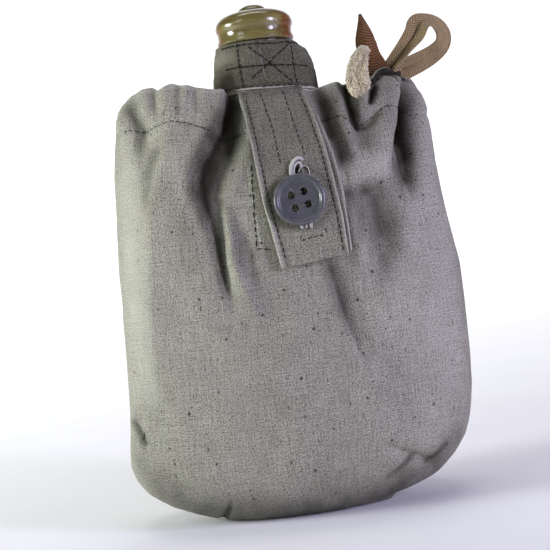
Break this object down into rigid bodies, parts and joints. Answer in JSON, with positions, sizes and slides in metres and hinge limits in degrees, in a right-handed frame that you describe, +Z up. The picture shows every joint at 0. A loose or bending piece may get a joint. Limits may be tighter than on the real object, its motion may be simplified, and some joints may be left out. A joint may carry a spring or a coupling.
{
  "type": "canteen",
  "caption": "Oval metal canteen with a rolled screw cap, in a gathered drawstring canvas cover with a buttoned neck strap and a belt loop behind.",
  "frame": {"origin": "middle of the flat under the cover, on the flask's upright axis", "axes": "+Z up along the flask's axis to the cap; -Y to the front, where the strap is buttoned; +Y to the belt loop; +X to the side the drawstring is tied at"},
  "size_m": [0.158, 0.0884, 0.2152],
  "materials": {
    "flask": "gloss",
    "cap": "gloss",
    "rivet": "gloss",
    "seal": "matte",
    "washer": "satin",
    "canvas": "woven, matte",
    "collar": "woven, matte",
    "strap": "woven, matte",
    "loop": "woven, matte",
    "tape": "herringbone tape",
    "button": "semi-gloss",
    "thread": "waxed thread"
  },
  "bodies": {
    "cover": {"cover_front": "canvas", "cover_back": "canvas", "button_patch": "canvas", "collar_tab": "strap", "belt_loop": "loop", "drawstring_run": "tape", "drawstring_knot": "tape", "drawstring_loop": "tape", "drawstring_tail": "tape", "drawstring_end": "tape"},
    "flask": {"flask_body": "flask"},
    "seal": {"cap_seal": "seal"},
    "cap": {"screw_cap": "cap", "cap_rivet": "rivet", "seal_washer": "washer"},
    "collar": {"neck_collar": "collar"},
    "strap": {"closure_strap": "strap", "strap_lining": "strap"},
    "button": {"button": "button", "button_thread": "thread"}
  },
  "joints": [
    {"name": "flask_lift", "type": "slide", "parent": "cover", "child": "flask", "axis": [0, 0, 1], "range_m": [0, 0.215], "deforming": ["cover_front", "cover_back", "button_patch", "belt_loop", "neck_collar", "closure_strap", "strap_lining", "collar_tab", "drawstring_run", "drawstring_knot", "drawstring_loop", "drawstring_tail", "drawstring_end"]},
    {"name": "cap_rise", "type": "slide", "parent": "flask", "child": "seal", "axis": [0, 0, 1], "range_m": [0, 0.014]},
    {"name": "cap_turn", "type": "hinge", "parent": "seal", "child": "cap", "pos_m": [0, 0, 0.2055], "axis": [0, 0, 1], "range_deg": [0, 1260]},
    {"name": "collar_tip", "type": "hinge", "parent": "cover", "child": "collar", "pos_m": [0, 0.0205, 0.1745], "axis": [-1, 0, 0], "range_deg": [0, 100], "deforming": ["neck_collar", "collar_tab"]},
    {"name": "strap_open", "type": "hinge", "parent": "collar", "child": "strap", "pos_m": [0.0046, -0.0203, 0.1752], "axis": [-1, 0, 0], "range_deg": [0, 110]},
    {"name": "button_turn", "type": "hinge", "parent": "cover", "child": "button", "pos_m": [0.0086, -0.04011, 0.13018], "axis": [0, -0.9919, 0.127], "range_deg": [-30, 30]}
  ],
  "couplings": [
    {"joint": "cap_rise", "follows": "cap_turn", "m_per_rad": 0.00063662}
  ]
}
